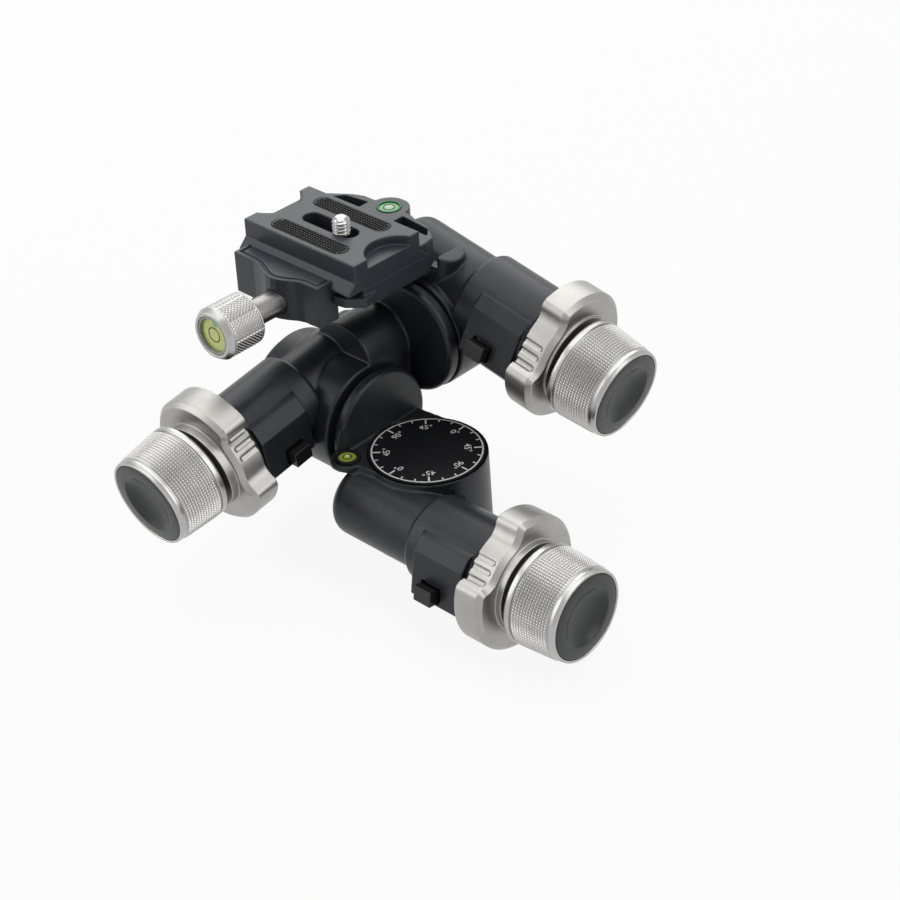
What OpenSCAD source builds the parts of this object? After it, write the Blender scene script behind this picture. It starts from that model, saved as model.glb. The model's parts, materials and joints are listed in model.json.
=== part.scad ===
// Geared three-axis tripod head: pan, tilt and roll worm stages with a dovetail clamp on top.
// Millimetres, +Z up. Origin: centre of the tripod face; +X runs along the pan barrel to its knob.

/* [Layout] */
// Height of the dial face above the tripod face
dial_z = 38; // [36:0.5:42]
// How far the pan worm axis lies below the dial face
pan_drop = 16.3; // [15.9:0.1:16.7]
// How far the tilt axis lies above the dial face
tilt_rise = 1.3; // [0.5:0.1:2.5]
// Tilt worm plane, measured back from the pan axis
tilt_back = 50; // [49:0.5:52]
// Roll axis, measured back from the pan axis
roll_back = 28.6; // [28:0.1:29.5]
// Height of the roll axis above the tilt axis
roll_rise = 22.4; // [22:0.1:24]
// Roll worm plane, measured behind the pan axis
roll_side = 42.9; // [42:0.1:45]
// Droop of the tilt barrel towards its knob, degrees
tilt_droop = 9.6; // [8:0.2:11]
// Droop of the roll barrel towards its knob, degrees
roll_droop = 11; // [9:0.2:12]

/* [Gears] */
// Teeth on the pan worm wheel
pan_teeth = 38; // [37:1:39]
// Teeth on the roll worm wheel
wheel_teeth = 25; // [24:1:26]
// Teeth on the tilt worm wheel
tilt_teeth = 21; // [20:1:22]
// Gear module
gear_module = 0.8; // [0.78:0.01:0.82]
// Pitch radius of each worm
worm_pitch_r = 4.4; // [4.2:0.1:4.6]
// Face width of each worm wheel
wheel_w = 5; // [4:0.5:6]
// Radius of the three axis shafts
shaft_r = 6; // [5:0.5:6]
// Radius of the worm spindles at their bearings
spindle_r = 3; // [2.5:0.1:3.2]

/* [Barrels] */
// Radius of the cast pan barrel
pan_barrel_r = 13.3; // [13:0.1:14]
// Radius of the cast roll barrel
barrel_r = 14.4; // [14:0.1:15]
// Radius of the cast tilt barrel
tilt_barrel_r = 12.4; // [12.2:0.1:14]
// Radius of the roll sleeve
sleeve_r = 17; // [16.5:0.1:17.5]
// Radius of the pan and tilt sleeves
slim_sleeve_r = 15.6; // [15.4:0.1:16.4]
// Radius of the spigots inside the sleeves
spigot_r = 12; // [11.6:0.1:12.2]
// Radius of the sleeve nose that carries the release collar
nose_r = 13.5; // [13:0.1:14]
// Where the sleeves end, from the wheel axis
sleeve_end = 45; // [44:0.5:46]
// Width of a release collar
collar_w = 10.6; // [10:0.2:11]
// Ring radius of a release collar
collar_r = 18.6; // [18:0.1:19.4]
// Radius of a collar wing tip
wing_tip_r = 24; // [23.5:0.1:24.5]

/* [Knobs] */
// Back of the large knobs, from the wheel axis
knob_back = 59.6; // [59:0.2:61]
// Length of the large knobs
knob_len = 20.2; // [19:0.2:21]
// How much further out the pan and tilt knobs sit than the roll knob
knob_reach = 2.4; // [1.5:0.1:3]
// Radius of the large knobs at the back ring
knob_r = 17.9; // [17:0.1:18.5]
// Radius of the large knobs at the front rim
knob_front_r = 16.5; // [16:0.1:17]
// Radius of the black finger cap
cap_r = 15.2; // [14.5:0.1:15.4]

/* [Housings] */
// Radius of the round gear housings
drum_r = 21.2; // [21:0.1:22]
// Radius of the two joint flanges
flange_r = 20.6; // [20:0.1:20.8]
// Thickness of the tilt flange
flange_t = 4; // [3.5:0.1:4.5]
// Front face of the tilt flange, measured back from the pan axis
flange_back = 20.8; // [20.5:0.1:21]
// Front face of the roll flange, measured behind the pan axis
roll_flange_y = 21.5; // [21.4:0.1:22]

/* [Clamp] */
// Centre of the clamp, measured back from the roll axis
clamp_back = 19.4; // [18:0.2:21]
// Centre of the plate dovetail, measured from the tilt axis towards the back
clamp_y = 7.3; // [6.5:0.1:8]
// Top of the quick-release plate above the roll axis
plate_rise = 44.3; // [43.5:0.1:46]
// Length of the quick-release plate
plate_len = 53.4; // [50:0.2:58]
// Width of the plate's top face
plate_w = 31.3; // [30:0.1:32]
// Width of the plate over its dovetail
dovetail_w = 38; // [37.5:0.1:38.5]
// Thickness of the plate
plate_t = 10.6; // [10:0.1:11]
// Radius of the clamp knob
clamp_knob_r = 9.4; // [9:0.1:10]

/* [Fits] */
// Running clearance between turning pieces, per side
run_gap = 0.06; // [0.04:0.01:0.1]
// Free clearance between pieces of different bodies
free_gap = 0.4; // [0.3:0.05:0.6]

/* [Node] */
// Which sub-part to draw

/* [Hidden] */
$fn = 96;
eps = 0.01;

// Gear sizes that follow from the module
axial_pitch = PI * gear_module;
function pitch_r(n) = gear_module * n / 2;
function centre(n) = pitch_r(n) + worm_pitch_r;
addendum = 0.75 * gear_module;
dedendum = 1.0 * gear_module;
worm_out_r = worm_pitch_r + addendum;
worm_root_r = worm_pitch_r - dedendum;
flank = 20;
tooth_t = 0.37 * axial_pitch;
worm_turns = 6;
worm_half = axial_pitch * worm_turns / 2 + 1;

// Axis positions
pan_z = dial_z - pan_drop;
tilt_z = dial_z + tilt_rise;
roll_z = tilt_z + roll_rise;
roll_x = -roll_back;
tilt_x = -tilt_back;
clamp_x = roll_x - clamp_back;
plate_z = roll_z + plate_rise;

// Base and pan stack heights
foot_h = 5.2;
foot_r = 16;
lip_r = 22.4;
lip_z1 = 7.2;
washer_t = 0.3;
body1_z0 = lip_z1 + washer_t + run_gap;
boss_r = 8;
boss_z = pan_z - wheel_w / 2 - 0.3;
thread_r = 4;
thread_len = boss_z - 1.5;
wheel_bore_gap = 0.4;
cavity_r = pitch_r(wheel_teeth) + addendum + wheel_bore_gap;
pan_cavity_r = pitch_r(pan_teeth) + addendum + wheel_bore_gap;
// The pan barrel sits two thread pitches off the wheel axis, so that its worm keeps its phase
pan_shift = 2 * axial_pitch;
cavity_z1 = pan_z + wheel_w / 2 + 1.3;
bush_r = 9;
pan_bush_z1 = dial_z - 7;
nut_h = 3;
nut_r = 9.5;
pan_nut_z = pan_bush_z1 + 0.8 + run_gap;
shaft_top = pan_nut_z + nut_h;
dial_t = 2;
dial_r = drum_r - 0.9;
dial_z0 = dial_z - dial_t;
plate_top_t = 2.6;

// Worm spindle stations, measured along the barrel from the wheel axis
rear_bush_u0 = -19;
rear_bush_u1 = -worm_half - 6.5;
shoulder_r = 4.3;
rear_shoulder = 2.4;
front_bush_u0 = worm_half + 3.5;
front_bush_u1 = front_bush_u0 + 8;
bore_r = worm_out_r + 0.6;
rear_bore_r = 4.6;
spigot_end = sleeve_end - 1;
nose_end = knob_back - 0.9;
nose_bore_r = spindle_r + 1.2;
collar_u0 = sleeve_end + 0.7;
collar_u1 = collar_u0 + collar_w;
knob_u1 = knob_back + knob_len;
cap_seat = knob_u1 - 3.2;
spindle_u1 = cap_seat - 1.5;

// How far each barrel, sleeve and collar outline lies off its worm axis, sideways and upwards
pan_ecc = [0.2, 0.5];
tilt_ecc = [0.9, -1];
roll_ecc = [0.8, 1];
// Where each thick sleeve begins
pan_step = 15.5;
side_step = 13.4;
// How far each sleeve is turned about its barrel, degrees
pan_clock = 8;
tilt_clock = 0;
roll_clock = 18;

// Tilt stage stations along X, roll stage stations along Y
flange_x0 = -flange_back - flange_t;
drum2_x1 = flange_x0 - 2.8;
drum2_x0 = tilt_x - 15;
cover_t = 2.4;
roll_flange_y1 = roll_flange_y + 4.8;
drum3_y0 = roll_flange_y1 + 0.6;
drum3_y1 = roll_side + roll_ecc[0] + barrel_r + 0.2;
bush_half = wheel_w / 2 + 1.2;

// Pad and button on each sleeve
pad_y = 17.5;
pad_u0 = 22;
pad_u1 = sleeve_end - 1.4;
button_u = 30.6;
button_len = 7.4;
button_h = 5.6;
button_z = -7.4;
button_out = 4;
button_travel = 1.2;

// Clamp stack
plate_z0 = plate_z - plate_t;
floor_z1 = plate_z0 - 0.02;
floor_z0 = floor_z1 - 7.4;
neck_h = 6.6;
jaw_z1 = plate_z - 8;
jaw_z0 = floor_z0 - 5.4;
arm_z1 = floor_z0 - eps;
arm_z0 = roll_z + drum_r + 0.9;
rear_y = clamp_y + plate_w / 2;
front_y = clamp_y - plate_w / 2;
jaw_half = 20.4;
jaw_dx = -3;
jaw_open = 6;
clamp_half = 26.4;
level_r = 4.4;
stem_z = floor_z0 + 0.5;
stem_r = 3;
stem_out_r = 4.7;
clamp_knob_y1 = front_y - 24.1;
clamp_knob_len = 17.1;
lens_r = 7;
flare = (dovetail_w - plate_w) / 2;

// Round bar along X, Y from one station to another
module xbar(r, a, b) {
  translate([a, 0, 0]) rotate([0, 90, 0]) cylinder(r = r, h = b - a);
}
module ybar(r, a, b) {
  translate([0, b, 0]) rotate([90, 0, 0]) cylinder(r = r, h = b - a);
}
// Ring along Z
module ring(r1, r0, z0, z1) {
  translate([0, 0, z0]) difference() {
    cylinder(r = r1, h = z1 - z0);
    translate([0, 0, -1]) cylinder(r = r0, h = z1 - z0 + 2);
  }
}
// Turn a profile drawn as (radius, station) about the X axis
module xturn() {
  rotate([0, 90, 0]) rotate_extrude() children();
}
// Box from one corner to the other
module span(a, b) {
  translate(a) cube(b - a);
}
// Rectangle with two rounded corners on its outer radius side, drawn as (radius, station)
module rim_profile(r, h, f) {
  square([r - f, h]);
  translate([0, f]) square([r, h - 2 * f]);
  translate([r - f, f]) circle(r = f);
  translate([r - f, h - f]) circle(r = f);
}
// Barrel with a rounded closed end at station a and a plain end at station b
module round_barrel(r, a, b, f) {
  xturn() {
    translate([0, a]) square([r - f, b - a]);
    translate([0, a + f]) square([r, b - a - f]);
    intersection() {
      translate([r - f, a + f]) circle(r = f);
      translate([0, a]) square([r, f]);
    }
  }
}

// Place a stage: local +X runs along the barrel to the knob
module at_pan() {
  translate([pan_shift, -centre(pan_teeth), pan_z]) children();
}
module at_tilt() {
  c = centre(tilt_teeth);
  translate([tilt_x, -c * sin(tilt_droop), tilt_z + c * cos(tilt_droop)])
    rotate([0, 0, -90]) rotate([0, tilt_droop, 0]) children();
}
module at_roll() {
  c = centre(wheel_teeth);
  translate([roll_x + c * sin(roll_droop), roll_side, roll_z + c * cos(roll_droop)])
    rotate([0, roll_droop, 0]) children();
}
// Gear frame of the pan stage: its wheel axis stands upright
module at_pan_gear() {
  translate([0, -centre(pan_teeth), pan_z]) rotate([90, 0, 0]) children();
}
// Place something on the tilt or roll axis, with its own Z along that axis
module on_tilt() {
  translate([0, 0, tilt_z]) rotate([0, 90, 0]) children();
}
module on_roll() {
  translate([roll_x, 0, roll_z]) rotate([-90, 0, 0]) children();
}

// Worm wheel outline; a tooth space points along +Y of the drawing
module wheel_outline(n) {
  wheel_root_r = pitch_r(n) - dedendum;
  wheel_out_r = pitch_r(n) + addendum;
  half_tip = tooth_t / 2 - addendum * tan(flank);
  half_root = tooth_t / 2 + dedendum * tan(flank);
  circle(r = wheel_root_r + 0.05);
  for (k = [0 : n - 1])
    rotate((k + 0.5) * 360 / n)
      polygon([
        [-half_root, wheel_root_r - 0.3], [-half_tip, wheel_out_r],
        [half_tip, wheel_out_r], [half_root, wheel_root_r - 0.3]
      ]);
}
// Worm wheel in the gear frame: axis along local Y, below the worm
module worm_wheel(n) {
  translate([0, 0, -centre(n)]) rotate([90, 0, 0]) difference() {
    union() {
      translate([0, 0, -wheel_w / 2]) linear_extrude(wheel_w) wheel_outline(n);
      translate([0, 0, -wheel_w / 2 - 0.3]) cylinder(r = shaft_r + 1.2, h = wheel_w + 0.6);
    }
    translate([0, 0, -wheel_w]) cylinder(r = shaft_r, h = 2 * wheel_w);
  }
}
// Helical thread, swept as one closed ribbon; its middle passes x = 0 at the bottom of the worm
worm_seg = 20;
function thread_ring(i) =
  let (
    a = 270 + 360 * (i / worm_seg - worm_turns / 2),
    x = axial_pitch * (i / worm_seg - worm_turns / 2),
    grow = min(1, min(i, worm_seg * worm_turns - i) / (worm_seg / 2)),
    r1 = worm_root_r + grow * (worm_out_r - worm_root_r),
    r0 = worm_root_r - 0.25,
    w1 = tooth_t / 2 - addendum * tan(flank),
    w0 = tooth_t / 2 + (dedendum + 0.25) * tan(flank)
  )
  [
    [x - w0, r0 * cos(a), r0 * sin(a)], [x - w1, r1 * cos(a), r1 * sin(a)],
    [x + w1, r1 * cos(a), r1 * sin(a)], [x + w0, r0 * cos(a), r0 * sin(a)]
  ];
module thread() {
  n = worm_seg * worm_turns;
  pts = [for (i = [0 : n]) each thread_ring(i)];
  side = [for (i = [0 : n - 1]) for (j = [0 : 3])
    let (p = 4 * i + j, q = 4 * i + (j + 1) % 4)
      each [[p, q, q + 4], [p, q + 4, p + 4]]];
  polyhedron(pts, concat([[3, 2, 1, 0]], side, [[4 * n, 4 * n + 1, 4 * n + 2, 4 * n + 3]]));
}
// Worm and spindle in one piece
module worm(reach) {
  xturn() polygon([
    [0, rear_bush_u0 + 0.3], [spindle_r - 0.4, rear_bush_u0 + 0.3], [spindle_r, rear_bush_u0 + 0.8],
    [spindle_r, rear_bush_u1 + 0.1], [shoulder_r, rear_bush_u1 + 0.1],
    [shoulder_r, rear_bush_u1 + rear_shoulder], [worm_root_r, rear_bush_u1 + rear_shoulder],
    [worm_root_r, worm_half], [shoulder_r, worm_half],
    [shoulder_r, front_bush_u0 - 0.1], [spindle_r, front_bush_u0 - 0.1],
    [spindle_r, spindle_u1 + reach], [0, spindle_u1 + reach]
  ]);
  thread();
}
module rear_bush() {
  xturn() translate([spindle_r + run_gap, rear_bush_u0])
    square([rear_bore_r - spindle_r - run_gap, rear_bush_u1 - rear_bush_u0]);
}
module front_bush() {
  xturn() translate([spindle_r + run_gap, front_bush_u0])
    square([bore_r - spindle_r - run_gap, front_bush_u1 - front_bush_u0]);
}
// Everything bored out of a housing for its worm
module worm_bores() {
  xbar(rear_bore_r, rear_bush_u0, rear_bush_u1 + 1);
  xbar(bore_r, rear_bush_u1, spigot_end + 1);
}
// Barrel casting: rounded back end, body and the spigot for the sleeve
module barrel(r, back, step, f, ecc) {
  translate([0, ecc[0], ecc[1]]) round_barrel(r, back, step, f);
  xbar(spigot_r, step - eps, spigot_end);
}
// Thick sleeve with its pad; side is -1 or 1 for the side that faces outwards
module sleeve(r, step, side, clock, reach, ecc) {
  difference() {
    union() {
      translate([0, ecc[0], ecc[1]]) xturn() polygon([
        [0, step + 0.02], [r - 1, step + 0.02], [r, step + 1.4],
        [r, sleeve_end - 0.6], [r - 0.6, sleeve_end], [0, sleeve_end]
      ]);
      xbar(nose_r, spigot_end, nose_end + reach);
      mirror([0, (1 - side) / 2, 0]) rotate([clock, 0, 0]) translate([pad_u0, 0, 0])
        rotate([90, 0, 90]) linear_extrude(pad_u1 - pad_u0) polygon([
          [9, 11], [13.6, 10.2], [14.4, 9.8], [pad_y, 5], [pad_y, -11.4], [pad_y - 2, -13], [9, -13]
        ]);
    }
    xbar(spigot_r + 0.02, step - 1, spigot_end + 0.02);
    xbar(nose_bore_r, spigot_end - 1, nose_end + reach + 1);
    button_pocket(side, clock);
  }
}
module button_pocket(side, clock) {
  g = free_gap;
  mirror([0, (1 - side) / 2, 0]) rotate([clock, 0, 0]) translate([button_u, pad_y, button_z])
    cube([button_len + 2 * g, 2 * (2.2 + button_travel), button_h + 2 * g], center = true);
}
// Push button; it sits in the pad pocket and stands proud
module button(side, clock) {
  in_y = pad_y - 2.2 + 0.3;
  depth = pad_y + button_out - in_y;
  mirror([0, (1 - side) / 2, 0]) rotate([clock, 0, 0])
    translate([button_u, in_y + depth / 2, button_z]) difference() {
      cube([button_len, depth, button_h], center = true);
      translate([0, depth / 2 - button_out, button_h / 2])
        cube([2 * button_len, 2.6, 1.2], center = true);
    }
}
// Winged release collar. One layer of its outline; it narrows by cut over its height
collar_hub_r = 16;
wing_corner = 3;
wing_hollow = 5.6;
wing_half = 53;
module collar_layer(h, cut) {
  a = collar_r + wing_hollow;
  b = wing_tip_r - wing_corner;
  reach = wing_corner + wing_hollow;
  turn = wing_half + acos((a * a + b * b - reach * reach) / (2 * a * b));
  corner_x = b * sin(wing_half);
  corner_y = b * cos(wing_half);
  hollow_x = a * sin(turn);
  hollow_y = a * cos(turn);
  cylinder(r1 = collar_r, r2 = collar_r - cut, h = h);
  for (s = [0, 180]) rotate(s) {
    intersection() {
      cylinder(r1 = wing_tip_r, r2 = wing_tip_r - cut, h = h);
      linear_extrude(h) polygon([[0, 0], [2 * corner_x, 2 * corner_y], [0, 80], [-2 * corner_x, 2 * corner_y]]);
    }
    for (m = [-1, 1]) {
      translate([m * corner_x, corner_y, 0]) cylinder(r1 = wing_corner, r2 = wing_corner - cut, h = h);
      difference() {
        linear_extrude(h) polygon([[0, 0], [m * corner_x, corner_y], [m * hollow_x, hollow_y]]);
        translate([m * hollow_x, hollow_y, -1])
          cylinder(r1 = wing_hollow - cut / h, r2 = wing_hollow + cut + cut / h, h = h + 2);
      }
    }
  }
}
// Collar with its wings at the given angle, a chamfered front and grip slots in both hollows
module collar(angle, shift, ecc, reach) {
  cut = 1.7;
  hub_end = knob_back + reach - 1 - shift;
  translate([shift, 0, 0]) difference() {
    union() {
      translate([0, ecc[0], ecc[1]]) difference() {
        translate([collar_u0, 0, 0]) rotate([90, 0, 90]) rotate(angle - 90) {
          collar_layer(collar_w - cut, 0);
          translate([0, 0, collar_w - cut]) collar_layer(cut, cut);
        }
        for (s = [0, 180]) for (k = [4, 15, 26]) rotate([angle + 90 + s + k, 0, 0])
          translate([0, collar_r + 0.35 + (k > 20 ? 0.7 : 0), 0])
            xbar(0.95, collar_u0 - 1, collar_u1 - 3.4);
      }
      translate([0, ecc[0], ecc[1]]) xbar(collar_hub_r, collar_u1 - 1, hub_end);
    }
    xbar(nose_r + run_gap, collar_u0 - 1, hub_end + 1);
  }
}
// Large knob: plain back ring, groove, knurled cone, plain front rim, seat for the cap
module knob() {
  difference() {
    xturn() polygon([
      [0, knob_back], [knob_r - 0.8, knob_back], [knob_r, knob_back + 0.8], [knob_r, knob_back + 2.4],
      [knob_r - 0.5, knob_back + 2.5], [knob_r - 0.5, knob_back + 2.9], [knob_r - 0.1, knob_back + 3.1],
      [knob_front_r + 0.3, knob_u1 - 3], [knob_front_r - 0.2, knob_u1 - 2.8],
      [knob_front_r - 0.2, knob_u1 - 2.2], [knob_front_r, knob_u1 - 2], [knob_front_r, knob_u1 - 1.2],
      [knob_front_r - 0.9, knob_u1], [0, knob_u1]
    ]);
    xbar(spindle_r, knob_back - 1, spindle_u1);
    xbar(cap_r + 0.02, cap_seat, knob_u1 + 1);
  }
}
// Finger cap: shallow dome with a dished middle
module finger_cap() {
  difference() {
    xturn() polygon([
      [0, cap_seat], [cap_r, cap_seat], [cap_r, knob_u1 - 0.6], [cap_r - 0.5, knob_u1],
      [cap_r - 4.6, knob_u1 + 1.5], [0, knob_u1 + 1.5]
    ]);
    translate([knob_u1 + 25.3, 0, 0]) sphere(r = 26);
  }
}
// Shaft nut along its own Z, with two wrench flats
module shaft_nut(z0) {
  intersection() {
    ring(nut_r, shaft_r, z0, z0 + nut_h);
    translate([0, 0, z0]) cube([2 * nut_r, 2 * nut_r - 2.4, 3 * nut_h], center = true);
  }
}

// Fixed base
module base_plate() color("dimgray") difference() {
  union() {
    cylinder(r = foot_r, h = foot_h + 0.5);
    translate([0, 0, foot_h]) rotate_extrude() rim_profile(lip_r, lip_z1 - foot_h, 0.8);
    cylinder(r = boss_r, h = boss_z);
  }
  translate([0, 0, -1]) cylinder(r = thread_r, h = thread_len + 1);
  translate([0, 0, thread_len]) cylinder(r = thread_r + 0.6, h = 20);
}
module pan_shaft() color("silver") {
  translate([0, 0, thread_len]) cylinder(r = thread_r + 0.6, h = boss_z - thread_len);
  translate([0, 0, boss_z]) cylinder(r = shaft_r, h = shaft_top - boss_z);
}
module pan_wheel() color("goldenrod") at_pan_gear() worm_wheel(pan_teeth);
module pan_washer() color("ivory") ring(lip_r - 3, boss_r + 3, lip_z1, lip_z1 + washer_t);
module pan_nut() color("silver") shaft_nut(pan_nut_z);
module dial_plate() color("black") {
  translate([0, 0, dial_z0]) cylinder(r = dial_r, h = dial_t);
  translate([0, 0, shaft_top]) cylinder(r = shaft_r, h = dial_z0 - shaft_top + eps);
}

// Pan body: housing, barrel, top plate and tilt flange in one casting
module body1_housing() color("#222222") difference() {
  union() {
    translate([0, 0, body1_z0]) cylinder(r1 = drum_r + 0.8, r2 = drum_r, h = dial_z - 1 - body1_z0);
    translate([0, 0, dial_z - 1 - eps]) cylinder(r1 = drum_r, r2 = drum_r - 0.5, h = 1 + eps);
    difference() {
      at_pan() barrel(pan_barrel_r, flange_x0 + 2.2, pan_step, 5, pan_ecc);
      translate([0, 0, -40]) cylinder(r = lip_r + free_gap, h = 40 + body1_z0);
    }
    translate([0, 0, dial_z - plate_top_t]) linear_extrude(plate_top_t - 0.4) top_outline();
    intersection() {
      on_tilt() translate([0, 0, flange_x0]) rotate_extrude() rim_profile(flange_r, flange_t, 0.9);
      span([-60, -60, body1_z0], [0, 60, 100]);
    }
    span([flange_x0 + 0.9, -flange_r + 5, body1_z0], [-12, flange_r - 5, dial_z - 1]);
  }
  at_pan() worm_bores();
  translate([0, 0, body1_z0 - 1]) cylinder(r = pan_cavity_r, h = cavity_z1 - body1_z0 + 1);
  translate([0, 0, cavity_z1 - 1]) cylinder(r = bush_r, h = 60);
  translate([0, 0, pan_bush_z1 + 0.8]) cylinder(r = nut_r + free_gap, h = 60);
  translate([0, 0, dial_z0 - free_gap]) cylinder(r = dial_r + free_gap, h = 60);
  on_tilt() translate([0, 0, flange_x0 - 1]) cylinder(r = shaft_r + 2, h = 1 + flange_t - 1.6);
  translate([level_x, level_y, dial_z - 1.6]) cylinder(r = level_r, h = 10);
}
level_x = -18.2;
level_y = -20.6;
module top_outline() {
  circle(r = drum_r);
  translate([level_x, level_y]) circle(r = level_r + 1.8);
  polygon([
    [flange_x0 + 0.9, level_y], [level_x, level_y - level_r - 1.7], [level_x + 6, level_y - 1],
    [0, -drum_r + 1], [0, drum_r - 1], [flange_x0 + 0.9, flange_r - 3]
  ]);
}
module pan_bush() color("goldenrod") {
  ring(bush_r, shaft_r + run_gap, cavity_z1 + 0.5, pan_bush_z1 + 0.8);
}
module pan_bush_rear() color("goldenrod") at_pan() rear_bush();
module pan_bush_front() color("goldenrod") at_pan() front_bush();
module pan_sleeve() color("#1c1c1c") difference() {
  at_pan() sleeve(slim_sleeve_r, pan_step, -1, pan_clock, knob_reach, pan_ecc);
  translate([0, 0, -40]) cylinder(r = lip_r + free_gap, h = 40 + body1_z0);
  translate([0, 0, body1_z0 - eps])
    cylinder(r1 = drum_r + 0.82, r2 = drum_r + 0.02, h = dial_z - 1 - body1_z0 + eps);
}
module pan_level() color("yellowgreen") {
  translate([level_x, level_y, dial_z - 1.6]) cylinder(r = level_r, h = 1.9);
}
module tilt_shaft() color("silver") on_tilt() {
  translate([0, 0, flange_x0]) cylinder(r = shaft_r + 2, h = flange_t - 1.6);
  translate([0, 0, tilt_x - 12]) cylinder(r = shaft_r, h = flange_x0 - tilt_x + 12 + eps);
}
module tilt_wheel() color("goldenrod") at_tilt() worm_wheel(tilt_teeth);
module tilt_washer() color("dimgray") {
  on_tilt() ring(flange_r - 4, shaft_r, drum2_x1 + run_gap, flange_x0);
}
module tilt_nut() color("silver") on_tilt() shaft_nut(tilt_x - bush_half - nut_h - 1.5);

// Moving pieces of the pan stage
module pan_worm() color("silver") translate([pan_shift, 0, 0]) at_pan_gear() worm(knob_reach);
module pan_knob() color("lightgray") at_pan() translate([knob_reach, 0, 0]) knob();
module pan_cap() color("black") at_pan() translate([knob_reach, 0, 0]) finger_cap();
module pan_collar() color("lightgray") at_pan() collar(37, 0.8, pan_ecc, knob_reach);
module pan_button() color("black") at_pan() button(-1, pan_clock);

// Tilt body: gear drum, barrel, fairing and roll flange in one casting
hub_x = tilt_x + 9;
hub_r = 13.6;
module body2_housing() color("#222222") difference() {
  union() {
    on_tilt() translate([0, 0, drum2_x0]) rotate_extrude() rim_profile(drum_r, drum2_x1 - drum2_x0, 0.9);
    at_tilt() barrel(tilt_barrel_r, -23, side_step, 2.2, tilt_ecc);
    translate([hub_x, 0, roll_z - 4]) ybar(hub_r, 2, roll_flange_y + 1);
    on_roll() translate([0, 0, roll_flange_y]) rotate_extrude() flange3_profile();
    span([hub_x - hub_r, 2, tilt_z], [drum2_x1 - 0.2, roll_flange_y + 2, roll_z - 4]);
  }
  at_tilt() worm_bores();
  on_tilt() translate([0, 0, drum2_x0 - 1])
    cylinder(r = cavity_r, h = tilt_x + bush_half - drum2_x0 + 1);
  on_tilt() translate([0, 0, tilt_x]) cylinder(r = bush_r, h = 60);
  on_roll() translate([0, 0, roll_flange_y1 - 2.6]) cylinder(r = shaft_r + 2, h = 60);
}
module flange3_profile() {
  t = roll_flange_y1 - roll_flange_y;
  f = 1.6;
  square([flange_r - f, t]);
  translate([0, f]) square([flange_r, t - f]);
  translate([flange_r - f, f]) circle(r = f);
}
module tilt_bush() color("goldenrod") {
  on_tilt() ring(bush_r, shaft_r + run_gap, tilt_x + bush_half, drum2_x1);
}
module tilt_bush_rear() color("goldenrod") at_tilt() rear_bush();
module tilt_bush_front() color("goldenrod") at_tilt() front_bush();
module tilt_sleeve() color("#1c1c1c") difference() {
  at_tilt() sleeve(slim_sleeve_r, side_step, 1, tilt_clock, knob_reach, tilt_ecc);
  on_tilt() translate([0, 0, drum2_x0 - 5]) cylinder(r = drum_r + 0.02, h = drum2_x1 - drum2_x0 + 10);
}
module tilt_cover() color("#1c1c1c") {
  on_tilt() translate([0, 0, drum2_x0 - cover_t]) cylinder(r = drum_r - 3, h = cover_t - eps);
}
module roll_shaft() color("silver") on_roll() {
  translate([0, 0, roll_flange_y1 - 2.6]) cylinder(r = shaft_r + 2, h = 2.6);
  translate([0, 0, roll_flange_y1 - eps]) cylinder(r = shaft_r, h = roll_side + 12 - roll_flange_y1);
}
module roll_wheel() color("goldenrod") at_roll() worm_wheel(wheel_teeth);
module roll_washer() color("dimgray") {
  on_roll() ring(flange_r - 4, shaft_r, roll_flange_y1, drum3_y0 - run_gap);
}
module roll_nut() color("silver") on_roll() shaft_nut(roll_side + bush_half + 1.5);
module tilt_worm() color("silver") at_tilt() worm(knob_reach);
module tilt_knob() color("lightgray") at_tilt() translate([knob_reach, 0, 0]) knob();
module tilt_cap() color("black") at_tilt() translate([knob_reach, 0, 0]) finger_cap();
module tilt_collar() color("lightgray") at_tilt() collar(110, 0, tilt_ecc, knob_reach);
module tilt_button() color("black") at_tilt() button(1, tilt_clock);

// Roll body: gear drum, barrel and the arm that carries the clamp
module body3_housing() color("#222222") difference() {
  union() {
    on_roll() translate([0, 0, drum3_y0]) rotate_extrude() rim_profile(drum_r, drum3_y1 - drum3_y0, 0.9);
    at_roll() barrel(barrel_r, -23, side_step, 4.5, roll_ecc);
    span([clamp_x - 17, front_y + 6, arm_z0], [clamp_x + 17, drum3_y0 + 6, arm_z1]);
    difference() {
      at_roll() translate([0, 0, -20]) linear_extrude(37.2) {
        translate([-26, -12.4]) square([27, 14]);
        translate([1, -6.2]) circle(r = 6.2);
      }
      span([-120, -10, arm_z1], [clamp_x + clamp_half + 0.3, 80, 140]);
    }
  }
  at_roll() worm_bores();
  on_roll() translate([0, 0, roll_side - bush_half]) cylinder(r = cavity_r, h = 60);
  on_roll() translate([0, 0, drum3_y0 - 1]) cylinder(r = bush_r, h = roll_side - drum3_y0);
  for (s = [-1, 1]) translate([clamp_x + 10 * s, clamp_y, arm_z0 - 1]) cylinder(r = bolt_r, h = 40);
  translate([clamp_x, 0, stem_z]) ybar(stem_r + free_gap, -60, clamp_y + 9);
}
bolt_r = 2;
module roll_bush() color("goldenrod") {
  on_roll() ring(bush_r, shaft_r + run_gap, drum3_y0, roll_side - bush_half);
}
module roll_bush_rear() color("goldenrod") at_roll() rear_bush();
module roll_bush_front() color("goldenrod") at_roll() front_bush();
module roll_sleeve() color("#1c1c1c") difference() {
  at_roll() sleeve(sleeve_r, side_step, -1, roll_clock, 0, roll_ecc);
  on_roll() translate([0, 0, drum3_y0 - 5]) cylinder(r = drum_r + 0.02, h = drum3_y1 - drum3_y0 + 10);
}
module roll_cover() color("#1c1c1c") {
  on_roll() translate([0, 0, drum3_y1 + eps]) cylinder(r = drum_r - 3, h = cover_t - eps);
}
module roll_worm() color("silver") at_roll() worm(0);
module roll_knob() color("lightgray") at_roll() knob();
module roll_cap() color("black") at_roll() finger_cap();
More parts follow.
